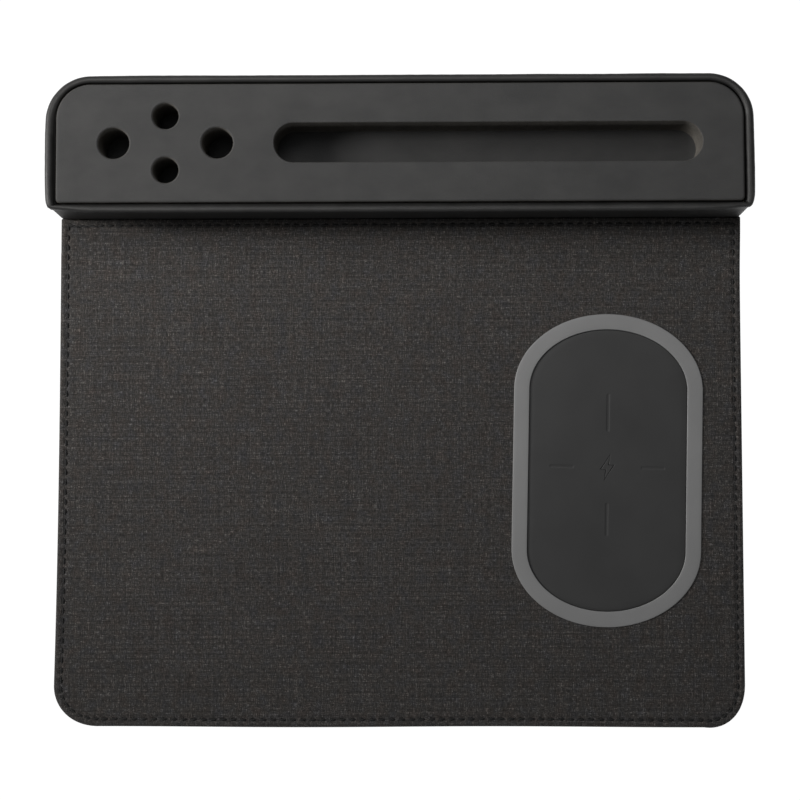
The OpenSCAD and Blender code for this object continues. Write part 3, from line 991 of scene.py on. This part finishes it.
def build_lid():
    """Smooth lid with pressed marks: four aiming dashes and a bolt sign."""
    b = Build()
    top = lid_high[2]
    profile = [(-LID_GAP, lid_low[2]), (-LID_GAP, top - 0.25)]
    profile += fillet(0.22, 4, 0, 90, -LID_GAP - 0.22, top - 0.22)
    loops = [b.loop(zone_loop(g), z) for g, z in profile]
    inner = b.loop(zone_loop(-3.0), top)
    b.rings(loops + [inner])
    holes = []
    press = [(0.60, 0.0), (0.30, 0.0), (0.18, 0.012), (0.06, 0.045)]
    press += [(-0.06, 0.085), (-0.18, 0.115), (-0.30, 0.12)]
    upright = math.pi / 2
    dashes = [(0, 21.6, 14.8, upright), (0, -20.6, 12.8, upright), (18, 0, 9.3, 0), (-18, 0, 9.3, 0)]
    for x, y, length, turn in dashes:
        cx, cy = to_zone(x, y + MARK_SHIFT)
        outline = capsule_outline(cx, cy, length, 1.0, 0.22, turn + ZONE_TURN)
        rings = [b.loop(offset(outline, d), top - z) for d, z in press]
        b.rings(rings[::-1])
        b.cap(rings[-1])
        holes.append(rings[0])
    # The sign's line is one pressed groove round a slanted zigzag
    corners = [(-2.65, -0.9), (-0.5, -0.9), (-1.15, -5.1), (2.65, 0.9), (0.5, 0.9), (1.15, 5.1)]
    dense = []
    groove = [(-0.5, 0.0), (-0.30, 0.0), (-0.2, 0.05), (0.0, 0.26), (0.16, 0.06), (0.26, 0.0), (0.38, 0.0)]
    for d, z in groove:
        dense.append(b.loop([to_zone(x, y + MARK_SHIFT) for x, y in polygon_inset(corners, d)], top - z))
    b.rings(dense)
    holes.append(dense[0])
    b.cap(dense[-1])
    b.cap(inner, holes, grid=5.0)
    b.cap(loops[0], up=False)
    b.make("zone_lid", M_LID, ("charge_panel",), smooth=40)


# -------- organiser bar

# How far the soft insert presses into the wrap beyond its CAD side
INSERT_SQUEEZE = 0.2
INSERT_EDGE = 0.85
HOLE_EDGE = 0.85
SLOT_EDGE = 0.5
SLOT_TEAR = 0.36
DRAWN_BACK = 1.0


def worn_edge(r, top):
    """Path (outward, up) from a flat top into a hole, over an edge of radius r."""
    edge = [(r - dx, top - r + dz) for dx, dz in fillet(r, 6, 90, 0)]
    return [(r * 1.6, top), (r * 1.15, top - 0.02)] + edge


def build_insert():
    """Foam insert with softened edges round its top, the pen holes and the slot."""
    b = Build()
    half_w = HALF_W - BLOCK_GAP + INSERT_SQUEEZE
    y0, y1 = Y_BAR + BLOCK_GAP - INSERT_SQUEEZE, Y_REAR - BLOCK_GAP + INSERT_SQUEEZE
    outline = plan_outline(half_w, y0, y1, 1.5, BAR_REAR_CORNER - BLOCK_GAP, 1.4)
    low = block_low[2]
    wall = [(0, low), (0, low + 6), (0, BLOCK_TOP - INSERT_EDGE)]
    wall += fillet(INSERT_EDGE, 7, 0, 90, -INSERT_EDGE, BLOCK_TOP - INSERT_EDGE)
    wall += [(-INSERT_EDGE - 0.5, BLOCK_TOP)]
    loops = []
    for d, z in wall:
        sink = [0.05 * noise.noise((x / 9, y / 9, z)) for x, y, _, _ in outline]
        shape = inset_box(outline, -d, half_w, y0, y1)
        normals = [(nx, ny) for _, _, nx, ny in outline]
        worn = [(x - nx * w, y - ny * w) for (x, y), (nx, ny), w in zip(shape, normals, sink)]
        loops.append(b.loop(worn, z))
    b.rings(loops)

    top_holes, low_holes = [], []
    pens = [(PEN_X - PEN_STEP[0], Y_MID, PEN_D[0]), (PEN_X + PEN_STEP[0], Y_MID, PEN_D[0]),
            (PEN_X, Y_MID - PEN_STEP[1], PEN_D[1]), (PEN_X, Y_MID + PEN_STEP[1], PEN_D[1])]
    for x, y, d in pens:
        ring = circle_outline(x, y, d / 2, 72)
        path = worn_edge(HOLE_EDGE, BLOCK_TOP) + [(0.02, BLOCK_TOP - 3), (0, BLOCK_TOP - 9), (0, low)]
        rings = [b.loop(offset(ring, o), z) for o, z in path]
        b.rings(rings)
        top_holes.append(rings[0])
        low_holes.append(rings[-1])

    slot_x, slot_l, slot_w, slot_d = SLOT
    ring = capsule_outline(slot_x, Y_MID, slot_l, slot_w, 1.0)
    floor_z = BLOCK_TOP - slot_d
    path = worn_edge(SLOT_EDGE, BLOCK_TOP)
    path += [(0.05, BLOCK_TOP - 4), (0, BLOCK_TOP - 10), (0, floor_z + 0.6)]
    path += [(-0.2, floor_z + 0.15), (-0.6, floor_z)]
    rings = []
    for o, z in path:
        depth = (BLOCK_TOP - z) / slot_d
        swing = SLOT_TEAR * math.sin(math.pi * depth)
        rough = [swing * noise.noise((x / 1.6, y / 1.6, z / 4)) for x, y, _, _ in ring]
        torn = [(x + nx * (o + w), y + ny * (o + w)) for (x, y, nx, ny), w in zip(ring, rough)]
        rings.append(b.loop(torn, z))
    b.rings(rings)
    b.cap(rings[-1], grid=3.0, height=lambda x, y: floor_z + 0.06 * noise.noise((x / 6, y / 6, 2.0)))
    top_holes.append(rings[0])

    def top_rise(x, y):
        return BLOCK_TOP + 0.05 * noise.noise((x / 20, y / 20, 1.0))

    b.cap(loops[-1], top_holes, grid=4.0, height=top_rise)
    b.cap(loops[0], low_holes, up=False)
    b.make("insert_foam", M_FOAM, ("insert_block",), smooth=40)


def rim_section(swell, shift, drop, bow, wall):
    """Closed section of the wrap, as (outward, up) points.

    swell grows the padded rim, shift moves it outward and drop lowers it. bow pushes the wall out
    towards its top, and wall bulges it at half height.
    """
    # The outer wall, from the mat up to the roll
    points = []
    height = FRAME_TOP - FABRIC_Z
    foot = [(0.0, 0.02), (0.03, 1.5), (0.02, 5), (0.0, 9), (0.0, 13)]
    flare = [(0.0, -4.4), (0.03, -2.8), (0.12, -1.7), (0.34, -0.7), (0.62, 0.1)]
    side = [(d, FABRIC_Z + z) for d, z in foot] + [(d, FRAME_TOP + z) for d, z in flare]
    for d, z in side:
        share = (z - FABRIC_Z) / height
        points.append((d + bow * share ** 2 + wall * math.sin(math.pi * min(share, 1)), z))
    # The padded roll, over its top and down beside the insert
    r = RIM_R + swell
    centre = (RIM_X + shift + bow, RIM_Z - drop)
    points += fillet(r, 18, -28, 198, *centre)
    lip = -FRAME_INSET + 0.06
    points += [(lip - 0.02 + 0.3 * (shift + bow), RIM_Z - 1.4 - drop), (lip, FRAME_TOP + 0.03)]
    # Back along the skin's inner face, round the foam cord
    inner_r = r - 0.75
    points.append((RIM_X - 1.05, FRAME_TOP + 0.03))
    for a in (200, 160, 120, 90, 60, 20, -20):
        a = math.radians(a)
        points.append((centre[0] + inner_r * math.cos(a), centre[1] + inner_r * math.sin(a)))
    inside_wall = -WRAP_T + 0.01
    points += [(-0.38, FRAME_TOP + 0.03), (inside_wall, FRAME_TOP + 0.03), (inside_wall, FABRIC_Z + 0.02)]
    return points


def sharpened(nx, ny):
    """How far a round corner's point moves out to make it nearly square, per millimetre of radius."""
    turn = min(math.atan2(abs(ny), abs(nx)), math.atan2(abs(nx), abs(ny)))
    return 0.85 * (1 / math.cos(turn) - 1)


def cord_section(swell, shift, drop, bow, _):
    """Closed section of the foam cord inside the padded rim, from the same values as the wrap's."""
    r = RIM_R + swell - 0.80
    centre = (RIM_X + shift + bow, RIM_Z - drop)
    foot = FRAME_TOP + 0.05
    return [(-0.42, foot), *fillet(r, 11, -20, 200, *centre), (RIM_X - 1.0, foot)]


def swept_loops(b, path, section, shape):
    """Loops of the section along path, creased and drawn back towards the mitres at its two ends."""
    loops = []
    lengths = running_lengths(path)
    for (x, y, nx, ny), s in zip(path, lengths):
        to_mitre = min(s, lengths[-1] - s)
        corner = sharpened(nx, ny) * BAR_FRONT_CORNER if y < Y_MID else 0.0
        creased = 0.04 + 0.06 * math.exp(-to_mitre / 7)
        drawn = DRAWN_BACK * math.exp(-(to_mitre / 9) ** 2)
        start = len(b.verts)
        for d, z in section(*shape(to_mitre, x, y, nx, ny)):
            high = max(0.0, (z - FRAME_TOP + 6) / 10)
            fold = creased * high * noise.noise((x / 2.6, y / 2.6 + z / 2.4, d / 2.4))
            out = d + fold + corner
            upper = min(max((z - FRAME_TOP + 14) / 14, 0.0), 1.0)
            outer = min(max((d + 2.2) / 3.0, 0.0), 1.0)
            back = drawn * upper * outer
            b.verts.append((x + nx * out, y + ny * out + back, z + 0.5 * fold))
        loops.append(list(range(start, len(b.verts))))
    return loops


def sweep_wrap(name, path, node, shape):
    """One part of the wrap, closed at both mitres."""
    b = Build()
    loops = swept_loops(b, path, rim_section, shape)
    b.rings(loops, closed_ends=True)
    obj = b.make(name, M_WRAP, (node,), smooth=50)


def split_path():
    """The bar's outline cut in the middle of both front corners: the front part and the rest."""
    outline = plan_outline(HALF_W, Y_BAR, Y_REAR, BAR_FRONT_CORNER, BAR_REAR_CORNER, 0.6)
    half = math.sqrt(0.5)
    right = min(range(len(outline)), key=lambda i: math.dist(outline[i][2:], (half, -half)))
    left = min(range(len(outline)), key=lambda i: math.dist(outline[i][2:], (-half, -half)))
    return outline[left:] + outline[:right + 1], outline[right:left + 1]


def blend(a, b, share):
    return tuple(p + (q - p) * share for p, q in zip(a, b))


def build_wraps():
    front, rest = split_path()
    # Both wraps end in this one section at the mitres: swell, shift, drop, bow, wall
    at_mitre = (-0.42, -0.30, 0.25, 0.3, -0.05)

    def front_shape(to_mitre, x, *_):
        wave = noise.noise((x / 24, 2.0, 0.5))
        bow = 0.25 * (1 - (x / HALF_W) ** 2)
        wall = 0.12 * noise.noise((x / 30, 5.0, 1.0))
        away = (-0.50 + 0.10 * wave, 0.46 - 0.05 * wave, -0.35, bow, wall)
        return blend(away, at_mitre, 0.6 * math.exp(-to_mitre / 8) + 0.4 * math.exp(-to_mitre / 1.2))

    def rest_shape(to_mitre, x, y, nx, ny):
        wave = noise.noise((x / 22, y / 22, 9.0))
        left = 0.62 * min(max((Y_REAR - 6 - y) / 16, 0.0), 1.0) * max(-nx, 0.0)
        right = 0.36 * min(max((Y_REAR - 12 - y) / 34, 0.0), 1.0) * max(nx, 0.0)
        rear = max(ny, 0.0) ** 2
        swell, shift = -0.26 - 0.18 * rear, 0.30 - 0.16 * rear
        wall = 0.14 * noise.noise((x / 26, y / 26, 4.0))
        away = (swell + 0.10 * wave, shift + 0.05 * wave, -0.15, left + right, wall)
        return blend(away, at_mitre, 0.5 * math.exp(-to_mitre / 4) + 0.5 * math.exp(-to_mitre / 1.2))

    sweep_wrap("bar_wrap_front", front, "wrap_front", front_shape)
    sweep_wrap("bar_wrap", rest, "wrap_surround", rest_shape)

    cord = Build()
    loops = swept_loops(cord, front, cord_section, front_shape)[:-1]
    loops += swept_loops(cord, rest, cord_section, rest_shape)[:-1]
    cord.rings(loops + [loops[0]])
    cord.make("rim_cord", M_CORD, ("rim_foam",), smooth=50)


# -------- materials of the carried CAD nodes

CARRIED = {
    "mat_core": M_CORE, "coil_tray": M_TRAY, "ferrite_sheet": M_FERRITE,
    "transmit_coil": M_COPPER, "control_board": M_BOARD, "controller_chip": M_CHIP,
    "power_inductor": M_FERRITE, "resonant_caps": M_CERAMIC, "power_lead": M_LEAD,
    "bar_floor": M_FIBRE, "bar_frame": M_FIBRE, "insert_base": M_FOAM_BASE,
    "socket_board": M_BOARD, "usb_socket": M_STEEL,
    "usb_tongue": M_CHIP, "socket_bezel": M_CHIP,
}


def dress_nodes():
    for name, material in CARRIED.items():
        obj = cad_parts[name]
        if not obj.material_slots:
            obj.data.materials.append(material)
        for slot in obj.material_slots:
            slot.material = material


# -------- floor

def build_floor():
    s = Shader("studio floor", **{"Specular IOR Level": 0.1, "Roughness": 0.9, "Emission Strength": 1.03,
                                  "Emission Color": (1.0, 1.0, 1.0, 1.0)})
    tone = s.noise((120.0, 120.0, 120.0), detail=2.0)
    s.colour(s.ramp(tone, [(0.3, (0.02, 0.02, 0.02)), (0.7, (0.03, 0.03, 0.03))]))
    # In metres, a hair below the mat's underside
    reach, z = 9.0, -0.0002
    corners = [(-reach, -reach, z), (reach, -reach, z), (reach, reach, z), (-reach, reach, z)]
    mesh = bpy.data.meshes.new("floor")
    mesh.from_pydata(corners, [], [(0, 1, 2, 3)])
    mesh.materials.append(s.mat)
    obj = bpy.data.objects.new("floor", mesh)
    bpy.context.scene.collection.objects.link(obj)


build_cover()
build_base()
build_seam()
build_band()
build_lid()
build_insert()
build_wraps()
dress_nodes()
build_floor()

bpy.context.view_layer.update()
